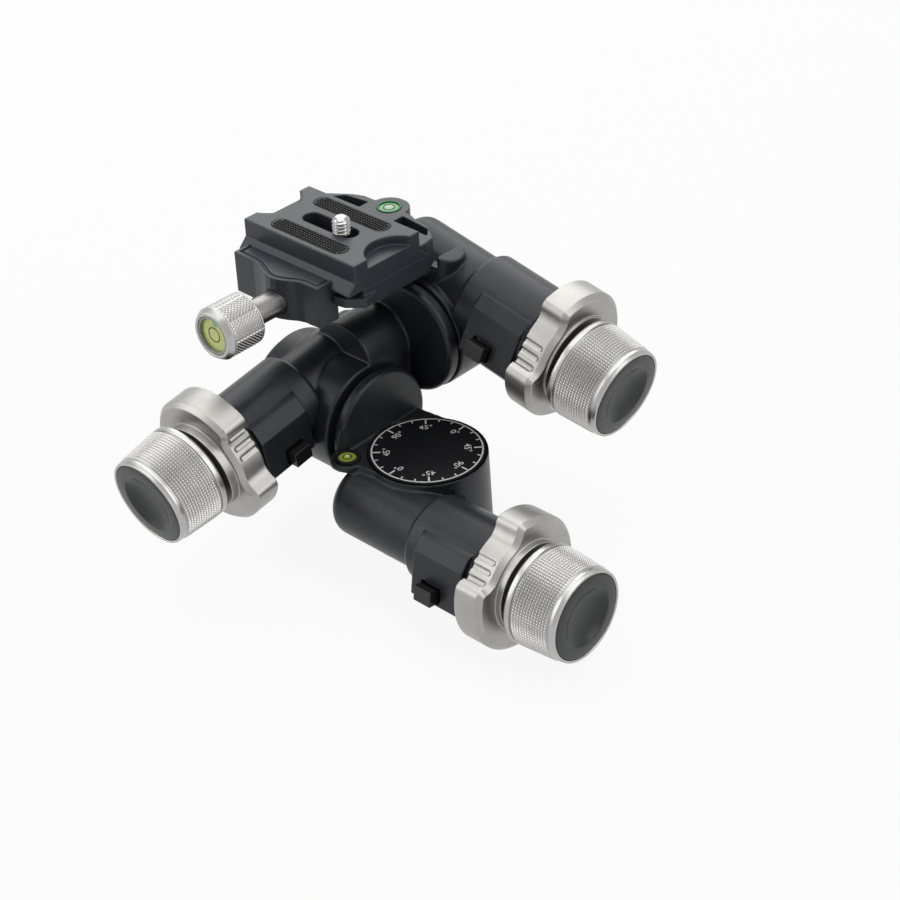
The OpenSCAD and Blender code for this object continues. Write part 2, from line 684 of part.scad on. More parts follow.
module roll_collar() color("lightgray") at_roll() collar(55, 0, roll_ecc, 0);
module roll_button() color("black") at_roll() button(-1, roll_clock);

// Clamp: floor and fixed rear jaw, moving front jaw, screw and knob
module dovetail_section(grow) {
  polygon([
    [-plate_w / 2 - grow, plate_z + 5], [-plate_w / 2 - grow, plate_z - neck_h],
    [-dovetail_w / 2 - grow, plate_z - neck_h - flare - grow], [-dovetail_w / 2 - grow, plate_z0],
    [dovetail_w / 2 + grow, plate_z0], [dovetail_w / 2 + grow, plate_z - neck_h - flare - grow],
    [plate_w / 2 + grow, plate_z - neck_h], [plate_w / 2 + grow, plate_z + 5]
  ]);
}
module along_clamp(half) {
  translate([clamp_x - half, clamp_y, 0]) rotate([90, 0, 90]) linear_extrude(2 * half) children();
}
module rear_jaw_outline() {
  y0 = dovetail_w / 2 - 6;
  polygon([
    [-clamp_half, y0], [-clamp_half, y0 + 10.5], [-clamp_half + 8, y0 + 16], [-14, y0 + 17.6],
    [8, y0 + 17.6], [12, y0 + 16], [clamp_half - 8, y0 + 15], [clamp_half - 1, y0 + 10.5],
    [clamp_half, y0 + 6], [clamp_half, y0]
  ]);
  translate([level_dx, level_dy]) circle(r = level_r + 3);
}
level_dx = -1.6;
level_dy = dovetail_w / 2 + 10.8;
module window_outline(s) {
  y0 = dovetail_w / 2 + 4;
  polygon([[s * 8.4 + level_dx, y0], [s * 8.4 + level_dx, y0 + 5], [s * 20, y0 + 3.6], [s * 23, y0]]);
}
// Section of the rear jaw: its back wall slopes in towards the floor
module rear_section() {
  polygon([
    [clamp_y, floor_z0], [rear_y + 4.4, floor_z0], [rear_y + 14.6, jaw_z1 - 2.6],
    [rear_y + 30, jaw_z1 - 2.6], [rear_y + 30, jaw_z1 + 2], [clamp_y, jaw_z1 + 2]
  ]);
}
// Tab beside the moving jaw, with chamfered corners
module tab_outline() {
  tab_x0 = jaw_dx + jaw_half + 0.5;
  polygon([
    [tab_x0, 8], [tab_x0, -2.2], [22.4, -1.4], [28, 3.2], [27.4, 8.2], [25, 10.4], [tab_x0, 10.4]
  ]);
}
module clamp_body() color("#222222") difference() {
  union() {
    span([clamp_x - clamp_half, front_y + 4, floor_z0], [clamp_x + clamp_half, rear_y + 4, floor_z1]);
    intersection() {
      translate([clamp_x, clamp_y, floor_z0]) linear_extrude(40) rear_jaw_outline();
      translate([clamp_x - 60, 0, 0]) rotate([90, 0, 90]) linear_extrude(120) rear_section();
    }
    translate([clamp_x, front_y, floor_z0 + 1.2]) linear_extrude(3.6) tab_outline();
  }
  along_clamp(40) dovetail_section(0.02);
  for (s = [-1, 1]) translate([clamp_x, clamp_y, floor_z0 + 3]) linear_extrude(40) window_outline(s);
  translate([clamp_x + level_dx, clamp_y + level_dy, jaw_z1 + 0.2]) cylinder(r = level_r, h = 20);
  translate([clamp_x, 0, stem_z]) ybar(stem_r, -60, clamp_y + 8);
  for (s = [-1, 1]) translate([clamp_x + 10 * s, clamp_y, 0]) {
    translate([0, 0, floor_z0 - 1]) cylinder(r = bolt_r, h = 40);
    translate([0, 0, floor_z1 - 2.6]) cylinder(r = 3.6, h = 20);
  }
}
module clamp_level() color("yellowgreen") {
  translate([clamp_x + level_dx, clamp_y + level_dy, jaw_z1 + 0.2]) cylinder(r = level_r, h = 2.1);
}
module clamp_bolt(s) {
  translate([clamp_x + 10 * s, clamp_y, 0]) difference() {
    union() {
      translate([0, 0, arm_z0 + 0.5]) cylinder(r = bolt_r, h = floor_z1 - 2.6 - arm_z0 - 0.5 + eps);
      translate([0, 0, floor_z1 - 2.6]) cylinder(r = 3.5, h = 2.3);
    }
    translate([0, 0, floor_z1 - 1.8]) cylinder(r = 1.7, h = 5, $fn = 6);
  }
}
module clamp_bolt_left() color("silver") clamp_bolt(-1);
module clamp_bolt_right() color("silver") clamp_bolt(1);
module jaw_outline() {
  polygon([
    [jaw_dx - jaw_half, 0], [jaw_dx - jaw_half, -9], [-13.6, -9.2], [-10.8, -9.9], [-7, -11.8],
    [-3.6, -13.2], [-0.8, -13.6], [1.6, -13.2], [4.9, -11.8], [7.8, -10.1], [10.4, -9.3],
    [jaw_dx + jaw_half, -9], [jaw_dx + jaw_half, 0]
  ]);
}
module clamp_jaw() color("#222222") difference() {
  union() {
    translate([clamp_x, front_y + 0.4, jaw_z0]) linear_extrude(jaw_z1 - jaw_z0) jaw_outline();
    span([clamp_x + jaw_dx - jaw_half, front_y, floor_z1 + 0.5],
      [clamp_x + jaw_dx + jaw_half, front_y + 0.5, jaw_z1]);
  }
  along_clamp(40) dovetail_section(0.02);
  translate([clamp_x, 0, stem_z]) ybar(stem_r + free_gap, -60, 60);
  translate([clamp_x, 0, stem_z]) ybar(stem_out_r + run_gap, -60, front_y - 8);
}
module clamp_screw() color("silver") translate([clamp_x, 0, stem_z]) {
  ybar(stem_r - run_gap, front_y - 9, clamp_y + 6);
  ybar(stem_out_r, clamp_knob_y1 - 8, front_y - 8 - run_gap);
}
module clamp_knob() color("lightgray") translate([clamp_x, 0, stem_z]) difference() {
  union() {
    ybar(clamp_knob_r, clamp_knob_y1 - clamp_knob_len + 1.9, clamp_knob_y1 - 1.5);
    translate([0, clamp_knob_y1 - clamp_knob_len + 1.9, 0]) rotate([90, 0, 0])
      cylinder(r1 = clamp_knob_r, r2 = clamp_knob_r - 1.3, h = 1.9);
    ybar(clamp_knob_r - 1.6, clamp_knob_y1 - 2, clamp_knob_y1 - 0.6);
  }
  ybar(stem_out_r, clamp_knob_y1 - 8, clamp_knob_y1 + 10);
  ybar(lens_r, clamp_knob_y1 - 30, clamp_knob_y1 - clamp_knob_len + 2.2);
}
module knob_level() color("yellowgreen") translate([clamp_x, 0, stem_z]) {
  ybar(lens_r, clamp_knob_y1 - clamp_knob_len + 0.2, clamp_knob_y1 - clamp_knob_len + 2.2);
}

// Quick-release plate with its rubber strips and camera screw
strip_y = 10.1;
strip_half = 17.3;
strip_w = 6.4;
screw_x = 5.2;
screw_r = 3.175;
screw_neck_r = 2.7;
screw_len = 5;
module slot_outline(half, w) {
  translate([-half + w / 2, -w / 2]) square([2 * half - w, w]);
  translate([-half + w / 2, 0]) circle(r = w / 2);
  translate([half - w / 2, 0]) circle(r = w / 2);
}
module qr_plate() color("#333333") difference() {
  intersection() {
    along_clamp(plate_len / 2) dovetail_section(0);
    span([-200, -200, plate_z0], [200, 200, plate_z]);
  }
  for (s = [-1, 1]) translate([clamp_x, clamp_y + s * strip_y, plate_z - 1])
    linear_extrude(5) slot_outline(strip_half, strip_w);
  translate([clamp_x, clamp_y, plate_z0 - 1]) linear_extrude(40) slot_outline(12.2, 6.9);
  translate([clamp_x, clamp_y, plate_z0 - 1]) linear_extrude(5.2) slot_outline(17, 14);
  for (s = [-1, 1]) translate([clamp_x + s * (plate_len / 2 + 3.6), clamp_y + 0.8, plate_z - 3.4])
    cylinder(r = 10.8, h = 20);
}
module strip(s) {
  translate([clamp_x, clamp_y + s * strip_y, plate_z - 1]) linear_extrude(1.5)
    slot_outline(strip_half - 0.02, strip_w - 0.04);
}
module strip_front() color("#111111") strip(-1);
module strip_rear() color("#111111") strip(1);
module camera_screw() color("silver") translate([clamp_x + screw_x, clamp_y, 0]) difference() {
  union() {
    translate([0, 0, plate_z0 + 4.2 - 0.1 - 2.4]) cylinder(r = 6.4, h = 2.4);
    translate([0, 0, plate_z0 + 4]) cylinder(r = screw_neck_r, h = plate_z - plate_z0 - 3.6);
    translate([0, 0, plate_z + 0.3]) cylinder(r = screw_r, h = screw_len);
  }
  translate([0, 0, plate_z0]) cylinder(r = 2.4, h = 3.4, $fn = 6);
}

base_plate();
pan_shaft();
pan_wheel();
pan_washer();
pan_nut();
dial_plate();
body1_housing();
pan_bush();
pan_bush_rear();
pan_bush_front();
pan_sleeve();
pan_level();
tilt_shaft();
tilt_wheel();
tilt_washer();
tilt_nut();
pan_worm();
pan_knob();
pan_cap();
pan_collar();
pan_button();
body2_housing();
tilt_bush();
tilt_bush_rear();
tilt_bush_front();
tilt_sleeve();
tilt_cover();
roll_shaft();
roll_wheel();
roll_washer();
roll_nut();
tilt_worm();
tilt_knob();
tilt_cap();
tilt_collar();
tilt_button();
body3_housing();
roll_bush();
roll_bush_rear();
roll_bush_front();
roll_sleeve();
roll_cover();
roll_worm();
roll_knob();
roll_cap();
roll_collar();
roll_button();
clamp_body();
clamp_level();
clamp_bolt_left();
clamp_bolt_right();
clamp_jaw();
clamp_screw();
clamp_knob();
knob_level();
qr_plate();
strip_front();
strip_rear();
camera_screw();
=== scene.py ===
"""Looks for the geared tripod head: camera, light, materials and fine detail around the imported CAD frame."""
import json
from math import cos, hypot, pi, radians, sin, sqrt

import bmesh
import bpy
from mathutils import Matrix, Vector

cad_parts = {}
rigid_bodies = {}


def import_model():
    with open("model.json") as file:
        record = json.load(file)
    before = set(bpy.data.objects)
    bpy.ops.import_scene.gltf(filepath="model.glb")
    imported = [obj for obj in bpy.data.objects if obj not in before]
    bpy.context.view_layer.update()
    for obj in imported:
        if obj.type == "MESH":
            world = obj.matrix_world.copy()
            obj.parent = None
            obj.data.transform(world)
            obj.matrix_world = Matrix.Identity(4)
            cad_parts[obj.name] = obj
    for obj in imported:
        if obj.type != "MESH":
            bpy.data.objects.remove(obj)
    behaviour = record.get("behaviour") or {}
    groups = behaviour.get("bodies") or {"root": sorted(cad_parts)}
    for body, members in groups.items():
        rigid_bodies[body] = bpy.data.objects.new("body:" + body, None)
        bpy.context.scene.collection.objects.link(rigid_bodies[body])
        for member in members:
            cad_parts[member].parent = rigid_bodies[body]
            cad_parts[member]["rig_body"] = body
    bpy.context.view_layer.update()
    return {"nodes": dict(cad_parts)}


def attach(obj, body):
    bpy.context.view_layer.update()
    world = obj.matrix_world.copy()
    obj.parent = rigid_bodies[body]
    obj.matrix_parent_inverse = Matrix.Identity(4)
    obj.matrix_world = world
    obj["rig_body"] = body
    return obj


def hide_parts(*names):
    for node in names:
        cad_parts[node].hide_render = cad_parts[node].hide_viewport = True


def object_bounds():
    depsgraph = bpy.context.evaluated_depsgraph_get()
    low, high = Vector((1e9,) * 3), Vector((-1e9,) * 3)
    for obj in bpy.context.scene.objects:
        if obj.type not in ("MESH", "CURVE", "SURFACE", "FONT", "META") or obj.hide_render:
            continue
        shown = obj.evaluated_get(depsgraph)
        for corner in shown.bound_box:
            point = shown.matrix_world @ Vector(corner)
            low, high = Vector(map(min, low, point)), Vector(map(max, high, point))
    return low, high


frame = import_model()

NODES = frame["nodes"]
MM = 0.001
WELD = 1e-6     # metres

# Sizes repeated from part.scad, in millimetres
PAN_C, TILT_C, ROLL_C = 19.6, 12.8, 14.4
PAN_SHIFT = 1.6 * pi
DIAL_Z = 38.0
PAN_Z, TILT_Z, ROLL_Z = 21.7, 39.3, 61.7
TILT_X, ROLL_X, ROLL_Y = -50.0, -28.6, 42.9
TILT_DROOP, ROLL_DROOP = radians(9.6), radians(11)
KNOB_BACK, KNOB_LEN, KNOB_R, KNOB_FRONT_R, CAP_R = 59.6, 20.2, 17.9, 16.5, 15.2
KNOB_REACH = 2.4
CLAMP_X, CLAMP_Y, PLATE_Z = -48.0, 7.3, 106.0
FRONT_Y, STEM_Z = -8.35, 88.48
DRUM_R = 21.2


def place(x, y, z, *turns):
    """Matrix of a shift and then turns, each an angle and an axis."""
    m = Matrix.Translation((x, y, z))
    for angle, axis in turns:
        m = m @ Matrix.Rotation(angle, 4, axis)
    return m


# Local +X of each stage runs along its barrel to the knob
AT_PAN = place(PAN_SHIFT, -PAN_C, PAN_Z)
AT_TILT = place(TILT_X, -TILT_C * sin(TILT_DROOP), TILT_Z + TILT_C * cos(TILT_DROOP),
                (-pi / 2, "Z"), (TILT_DROOP, "Y"))
AT_ROLL = place(ROLL_X + ROLL_C * sin(ROLL_DROOP), ROLL_Y, ROLL_Z + ROLL_C * cos(ROLL_DROOP),
                (ROLL_DROOP, "Y"))
STAGES = {
    "pan": (AT_PAN, KNOB_REACH),
    "tilt": (AT_TILT, KNOB_REACH),
    "roll": (AT_ROLL, 0.0),
}


# ---------------------------------------------------------------- materials
CLOUD_SCALE = 90
NOISE_LOW, NOISE_HIGH = 0.3, 0.7


def node_material(name):
    mat = bpy.data.materials.new(name)
    mat.use_nodes = True
    tree = mat.node_tree
    return mat, tree.nodes, tree.links, tree.nodes["Principled BSDF"]


def noise(nodes, links, scale, detail):
    """Noise in metres of the object's own space."""
    coords = nodes.new("ShaderNodeTexCoord")
    tex = nodes.new("ShaderNodeTexNoise")
    tex.inputs["Scale"].default_value = scale
    tex.inputs["Detail"].default_value = detail
    tex.inputs["Roughness"].default_value = 0.6
    links.new(coords.outputs["Object"], tex.inputs["Vector"])
    return tex


def ramp(nodes, links, source, dark, light):
    """Colour from dark to light over the noise's usual range."""
    node = nodes.new("ShaderNodeValToRGB")
    low, high = node.color_ramp.elements
    low.position, low.color = NOISE_LOW, (*dark, 1)
    high.position, high.color = NOISE_HIGH, (*light, 1)
    links.new(source, node.inputs["Fac"])
    return node.outputs["Color"]


def remap(nodes, links, source, lo, hi):
    """Number from lo to hi over the noise's usual range."""
    node = nodes.new("ShaderNodeMapRange")
    node.inputs["From Min"].default_value = NOISE_LOW
    node.inputs["From Max"].default_value = NOISE_HIGH
    node.inputs["To Min"].default_value = lo
    node.inputs["To Max"].default_value = hi
    links.new(source, node.inputs["Value"])
    return node.outputs["Result"]


def bump(nodes, links, source, distance):
    """Normal from a height; the distance is in metres."""
    node = nodes.new("ShaderNodeBump")
    node.inputs["Strength"].default_value = 1.0
    node.inputs["Distance"].default_value = distance
    links.new(source, node.inputs["Height"])
    return node.outputs["Normal"]


def grained(name, dark, light, rough, metallic, grain, grain_depth, specular=0.5):
    """A blasted or moulded finish: cloudy colour, cloudy gloss and a fine grain of the given size in mm."""
    mat, nodes, links, bsdf = node_material(name)
    clouds = noise(nodes, links, CLOUD_SCALE, 4).outputs["Fac"]
    links.new(ramp(nodes, links, clouds, dark, light), bsdf.inputs["Base Color"])
    specks = noise(nodes, links, 1000 / grain, 2).outputs["Fac"]
    links.new(remap(nodes, links, specks, *rough), bsdf.inputs["Roughness"])
    links.new(bump(nodes, links, specks, grain_depth * MM), bsdf.inputs["Normal"])
    bsdf.inputs["Metallic"].default_value = metallic
    bsdf.inputs["Specular IOR Level"].default_value = specular
    return mat


CAST = grained("cast_black", (0.010, 0.0106, 0.013), (0.018, 0.0192, 0.0235),
               (0.3, 0.44), 0.0, 0.5, 0.032, specular=0.32)
SLEEVE = grained("sleeve_black", (0.010, 0.0106, 0.013), (0.017, 0.0182, 0.0225),
                 (0.3, 0.42), 0.0, 0.45, 0.022, specular=0.34)
PLATE = grained("plate_black", (0.0232, 0.0254, 0.033), (0.031, 0.034, 0.0432),
                (0.34, 0.46), 0.0, 0.42, 0.022, specular=0.36)
SILVER = grained("blasted_silver", (0.36, 0.35, 0.334), (0.42, 0.408, 0.39),
                 (0.36, 0.46), 1.0, 0.2, 0.006)
KNURL = grained("knurled_silver", (0.42, 0.414, 0.402), (0.48, 0.472, 0.46),
                (0.26, 0.36), 1.0, 0.2, 0.004)
STEM = grained("stem_grey", (0.25, 0.246, 0.236), (0.32, 0.315, 0.302),
               (0.26, 0.36), 1.0, 0.3, 0.004)
CAP = grained("cap_black", (0.016, 0.017, 0.018), (0.024, 0.025, 0.026),
              (0.28, 0.38), 0.0, 0.3, 0.006, specular=0.4)
BUTTON = grained("button_black", (0.006, 0.006, 0.007), (0.01, 0.01, 0.011),
                 (0.22, 0.32), 0.0, 0.4, 0.006, specular=0.4)
DIAL = grained("dial_black", (0.004, 0.004, 0.005), (0.007, 0.007, 0.008),
               (0.34, 0.44), 0.0, 0.3, 0.004, specular=0.25)
PRINT = grained("dial_print", (0.6, 0.6, 0.6), (0.7, 0.7, 0.7), (0.45, 0.55), 0.0, 0.3, 0.003)
RUBBER = grained("strip_rubber", (0.006, 0.006, 0.007), (0.011, 0.011, 0.012),
                 (0.45, 0.6), 0.0, 0.3, 0.012, specular=0.3)
STEEL = grained("bright_steel", (0.42, 0.412, 0.402), (0.52, 0.51, 0.5),
                (0.14, 0.22), 1.0, 0.5, 0.003)
BRONZE = grained("turned_bronze", (0.5, 0.33, 0.13), (0.6, 0.42, 0.18), (0.3, 0.4), 1.0, 0.4, 0.006)
LINER = grained("bearing_liner", (0.03, 0.03, 0.03), (0.045, 0.045, 0.045),
                (0.4, 0.5), 0.0, 0.3, 0.006)
# Near black, darker than the castings: the pan level's rim and the grub screws' own black, and on the grub screws
# also painted shade of the holes they sit in
BLACK_AND_HOLE_SHADE = grained("black_and_painted_hole_shade", (0.003, 0.003, 0.003), (0.006, 0.006, 0.006),
               (0.5, 0.6), 0.0, 0.3, 0.006, specular=0.2)
FLUID = grained("level_fluid", (0.52, 0.6, 0.16), (0.62, 0.68, 0.24), (0.06, 0.1), 0.0, 2.0, 0.002)
OLIVE = grained("level_olive", (0.2, 0.26, 0.035), (0.3, 0.36, 0.06), (0.06, 0.1), 0.0, 2.0, 0.002)
GREEN = grained("level_green", (0.014, 0.1, 0.045), (0.024, 0.15, 0.065),
                (0.08, 0.14), 0.0, 2.0, 0.002, specular=0.2)
CLEAR = grained("level_clear", (0.22, 0.26, 0.22), (0.3, 0.34, 0.29), (0.05, 0.1), 0.0, 2.0, 0.002)
VIAL = grained("level_vial_green", (0.13, 0.34, 0.14), (0.2, 0.44, 0.19),
               (0.05, 0.1), 0.0, 2.0, 0.002, specular=0.2)
RING = grained("level_line", (0.006, 0.008, 0.006), (0.01, 0.012, 0.01),
               (0.4, 0.5), 0.0, 0.5, 0.002, specular=0.1)
BUBBLE = grained("level_bubble", (0.6, 0.76, 0.34), (0.68, 0.82, 0.42),
                 (0.03, 0.06), 0.0, 2.0, 0.001)
PEARL = grained("level_pearl", (0.34, 0.46, 0.4), (0.42, 0.54, 0.47),
                (0.04, 0.08), 0.0, 2.0, 0.001, specular=0.2)
SHADE = grained("level_shade", (0.2, 0.42, 0.2), (0.3, 0.52, 0.28), (0.04, 0.08), 0.0, 2.0, 0.001)


# ---------------------------------------------------------------- mesh helpers
def outward_mesh(name, verts, faces):
    """Mesh from millimetre points, its normals turned outwards."""
    data = bpy.data.meshes.new(name)
    data.from_pydata([Vector(v) * MM for v in verts], [], faces)
    data.validate()
    data.update()
    tidy_mesh(data)
    return data


def tidy_mesh(data, weld=None):
    """Join points that lie closer than weld, and turn the normals outwards."""
    bm = bmesh.new()
    bm.from_mesh(data)
    if weld:
        bmesh.ops.remove_doubles(bm, verts=bm.verts, dist=weld)
    bmesh.ops.recalc_face_normals(bm, faces=bm.faces)
    bm.to_mesh(data)
    bm.free()


def add_piece(name, verts, faces, mat, body, at=None, sharp=35):
    """A mesh from millimetre points in the frame 'at', riding on a body."""
    at = at or Matrix.Identity(4)
    data = outward_mesh(name, [at @ Vector(v) for v in verts], faces)
    return finish_piece(name, data, mat, body, sharp)


def finish_piece(name, data, mat, body, sharp):
    """Object from a mesh in the frame, with its material, sharp edges above an angle, and body."""
    ob = bpy.data.objects.new(name, data)
    bpy.context.scene.collection.objects.link(ob)
    data.materials.clear()
    data.materials.append(mat)
    data.shade_smooth()
    data.set_sharp_from_angle(angle=radians(sharp))
    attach(ob, body)
    return ob


def lathe(profile, n=160):
    """Turn (radius, station) points about local X. Points on the axis become one vertex; the profile is open."""
    verts, rows = [], []
    for r, u in profile:
        if r < 1e-6:
            rows.append([len(verts)] * n)
            verts.append((u, 0, 0))
        else:
            rows.append(list(range(len(verts), len(verts) + n)))
            verts += [(u, r * cos(2 * pi * k / n), r * sin(2 * pi * k / n)) for k in range(n)]
    faces = []
    for a, b in zip(rows, rows[1:]):
        for k in range(n):
            q = [a[k], a[(k + 1) % n], b[(k + 1) % n], b[k]]
            q = [v for i, v in enumerate(q) if v not in q[:i]]
            if len(q) > 2:
                faces.append(q)
    return verts, faces


def arc(cx, cy, r, a0, a1, n=6):
    """Points of an arc as (radius, station), angles in degrees."""
    return [(cx + r * cos(radians(a0 + (a1 - a0) * i / n)), cy + r * sin(radians(a0 + (a1 - a0) * i / n)))
            for i in range(n + 1)]


def cutter(name, verts, faces):
    """Object that a casting is cut with, removed afterwards."""
    ob = bpy.data.objects.new(name, outward_mesh(name, verts, faces))
    bpy.context.scene.collection.objects.link(ob)
    return ob


EASE_FACTOR = 0.5
THIN_RATIO = 0.3    # share of the remeshed faces that is kept
CAST_SHARP = 60     # degrees


def cast_copy(node, mat, voxel, passes, cuts=()):
    """A CAD node with cast edges: cut, remeshed finely, eased so that each edge gets a small radius, and thinned.

    The voxel size is in millimetres; passes is how often the mesh is eased.
    """
    src = NODES[node]
    ob = bpy.data.objects.new(node + "_blank", src.data.copy())
    bpy.context.scene.collection.objects.link(ob)
    tools = [cutter("%s_cut_%d" % (node, i), v, f) for i, (v, f) in enumerate(cuts)]
    for tool in tools:
        cut = ob.modifiers.new("cut", "BOOLEAN")
        cut.operation, cut.solver, cut.object = "DIFFERENCE", "EXACT", tool
    remesh = ob.modifiers.new("fine", "REMESH")
    remesh.mode, remesh.voxel_size = "VOXEL", voxel * MM
    ease = ob.modifiers.new("ease", "SMOOTH")
    ease.factor, ease.iterations = EASE_FACTOR, passes
    thin = ob.modifiers.new("thin", "DECIMATE")
    thin.ratio = THIN_RATIO
    data = bpy.data.meshes.new_from_object(ob.evaluated_get(bpy.context.evaluated_depsgraph_get()))
    for extra in [ob] + tools:
        bpy.data.objects.remove(extra)
    piece = finish_piece(node + "_cast", data, mat, src["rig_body"], CAST_SHARP)
    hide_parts(node)
    return piece


def loop_wall(outer, inner, z0, z1):
    """Closed ring wall between two outlines of equal length, from z0 to z1."""
    n = len(outer)
    verts = [(x, y, z) for z in (z0, z1) for ring in (outer, inner) for x, y in ring]
    faces = []
    for k in range(n):
        m = (k + 1) % n
        faces += [[k, m, 2 * n + m, 2 * n + k], [n + m, n + k, 3 * n + k, 3 * n + m],
                  [m, k, n + k, n + m], [2 * n + k, 2 * n + m, 3 * n + m, 3 * n + k]]
    return verts, faces


MITRE_LIMIT = 0.35


def inset(points, d):
    """Outline moved inwards by d; the points run anticlockwise."""
    out, n = [], len(points)
    for k in range(n):
        a, b, c = (Vector(points[(k + i) % n]) for i in (-1, 0, 1))
        e, g = (b - a).normalized(), (c - b).normalized()
        ne, ng = Vector((-e.y, e.x)), Vector((-g.y, g.x))
        mid = (ne + ng).normalized()
        out.append(tuple(b + mid * (d / max(MITRE_LIMIT, mid.dot(ne)))))
    return out


# ---------------------------------------------------------------- camera, light and floor
# Fitted to the photograph, in metres
CAMERA_AT = (0.4300, -0.4331, 0.4541)
CAMERA_RIGHT = (0.7350, 0.6771, -0.0360)
CAMERA_UP = (-0.3604, 0.4350, 0.8251)
CAMERA_BACK = (0.5743, -0.5935, 0.5638)
WORLD_LEVEL = 0.25
LAMP_AIM = Vector((-0.03, 0.0, 0.05))
FLOOR_HALF, FLOOR_GAP = 6.0, 0.0003
FLOOR_GREY, FLOOR_GLOW = 0.7, 0.91


def make_stage():
    """Camera, white surroundings, softboxes and a pale floor."""
    scene = bpy.context.scene
    scene.view_settings.view_transform = "Standard"
    cam = bpy.data.cameras.new("photo_camera")
    cam.lens, cam.sensor_width, cam.clip_end = 86.05, 36.0, 20.0
    ob = bpy.data.objects.new("photo_camera", cam)
    turn = Matrix((CAMERA_RIGHT, CAMERA_UP, CAMERA_BACK)).transposed().to_4x4()
    ob.matrix_world = Matrix.Translation(CAMERA_AT) @ turn
    scene.collection.objects.link(ob)
    scene.camera = ob

    world = bpy.data.worlds.new("studio")
    world.use_nodes = True
    scene.world = world
    white_where_seen(world.node_tree, world.node_tree.nodes["Background"], WORLD_LEVEL)

    def lamp(name, loc, size, power):
        light = bpy.data.lights.new(name, "AREA")
        light.shape, light.size, light.size_y, light.energy = "RECTANGLE", size[0], size[1], power
        o = bpy.data.objects.new(name, light)
        o.location = loc
        o.rotation_euler = (LAMP_AIM - Vector(loc)).to_track_quat("-Z", "Y").to_euler()
        scene.collection.objects.link(o)

    lamp("softbox_top", (-0.2, 0.1, 1.5), (1.6, 1.6), 12.0)
    lamp("softbox_back", (-0.78, 0.8, 0.82), (1.2, 0.8), 6.5)
    lamp("softbox_left", (-0.8, -0.8, 0.55), (0.8, 1.0), 5.0)
    lamp("softbox_right", (0.9, 0.2, 0.6), (0.6, 1.0), 3.5)

    low = min(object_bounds()[0][2], 0.0) - FLOOR_GAP
    corners = [(x * FLOOR_HALF, y * FLOOR_HALF, low) for x, y in ((-1, -1), (1, -1), (1, 1), (-1, 1))]
    data = bpy.data.meshes.new("floor")
    data.from_pydata(corners, [], [(0, 1, 2, 3)])
    floor = bpy.data.objects.new("floor", data)
    scene.collection.objects.link(floor)
    mat, nodes, links, bsdf = node_material("pale_floor")
    bsdf.inputs["Base Color"].default_value = (FLOOR_GREY, FLOOR_GREY, FLOOR_GREY, 1)
    bsdf.inputs["Roughness"].default_value = 0.9
    bsdf.inputs["Specular IOR Level"].default_value = 0.0
    glow = nodes.new("ShaderNodeEmission")
    glow.inputs["Strength"].default_value = 1.0
    mix = nodes.new("ShaderNodeMixShader")
    seen = ray_seen(nodes, links)
    part = nodes.new("ShaderNodeMath")
    part.operation = "MULTIPLY"
    part.inputs[1].default_value = FLOOR_GLOW
    links.new(seen, part.inputs[0])
    links.new(part.outputs[0], mix.inputs["Fac"])
    links.new(bsdf.outputs[0], mix.inputs[1])
    links.new(glow.outputs[0], mix.inputs[2])
    links.new(mix.outputs[0], nodes["Material Output"].inputs["Surface"])
    data.materials.append(mat)


def ray_seen(nodes, links):
    """1 for camera, mirror and glass rays, else 0."""
    path = nodes.new("ShaderNodeLightPath")
    first = nodes.new("ShaderNodeMath")
    first.operation = "MAXIMUM"
    links.new(path.outputs["Is Camera Ray"], first.inputs[0])
    links.new(path.outputs["Is Glossy Ray"], first.inputs[1])
    second = nodes.new("ShaderNodeMath")
    second.operation = "MAXIMUM"
    links.new(first.outputs[0], second.inputs[0])
    links.new(path.outputs["Is Transmission Ray"], second.inputs[1])
    return second.outputs[0]


def white_where_seen(tree, background, level):
    """World of a plain level that shows white to the camera and in reflections."""
    nodes, links = tree.nodes, tree.links
    background.inputs["Color"].default_value = (1, 1, 1, 1)
    background.inputs["Strength"].default_value = level
    shown = nodes.new("ShaderNodeBackground")
    shown.inputs["Strength"].default_value = 1.0
    mix = nodes.new("ShaderNodeMixShader")
    links.new(ray_seen(nodes, links), mix.inputs["Fac"])
    links.new(background.outputs[0], mix.inputs[1])
    links.new(shown.outputs[0], mix.inputs[2])
    links.new(mix.outputs[0], nodes["World Output"].inputs["Surface"])


make_stage()


# ---------------------------------------------------------------- CAD nodes that stay: finishes only
def dress(mat, *names):
    """Give CAD nodes a material."""
    for n in names:
        data = NODES[n].data
        data.materials.clear()
        data.materials.append(mat)


dress(CAST, "base_plate", "tilt_cover", "roll_cover")
dress(STEEL, "pan_shaft", "tilt_shaft", "roll_shaft", "pan_nut", "tilt_nut", "roll_nut",
      "pan_worm", "tilt_worm", "roll_worm", "clamp_bolt_left", "clamp_bolt_right")
dress(BRONZE, *[n for n in NODES if "bush" in n or n.endswith("_wheel")])
dress(LINER, "pan_washer", "tilt_washer", "roll_washer")
dress(DIAL, "dial_plate")
dress(STEM, "clamp_screw")


# ---------------------------------------------------------------- castings
JAW_TOP = PLATE_Z - 8.0
JAW_OUTLINE = [(-23.4, 0.0), (-23.4, -9.0), (-13.6, -9.2), (-10.8, -9.9), (-7.0, -11.8), (-3.6, -13.2),
               (-0.8, -13.6), (1.6, -13.2), (4.9, -11.8), (7.8, -10.1), (10.4, -9.3), (17.4, -9.0), (17.4, 0.0)]
JAW_GROOVE_FROM, JAW_GROOVE_TO, JAW_GROOVE_DEPTH = 1.4, 2.3, 0.7


def jaw_groove():
    """Shallow groove that frames the wavy panel on top of the moving jaw."""
    rim = [(CLAMP_X + x, FRONT_Y + 0.4 + y) for x, y in JAW_OUTLINE]
    outer, inner = inset(rim, JAW_GROOVE_FROM), inset(rim, JAW_GROOVE_TO)
    return loop_wall(outer, inner, JAW_TOP - JAW_GROOVE_DEPTH, JAW_TOP + 1.0)


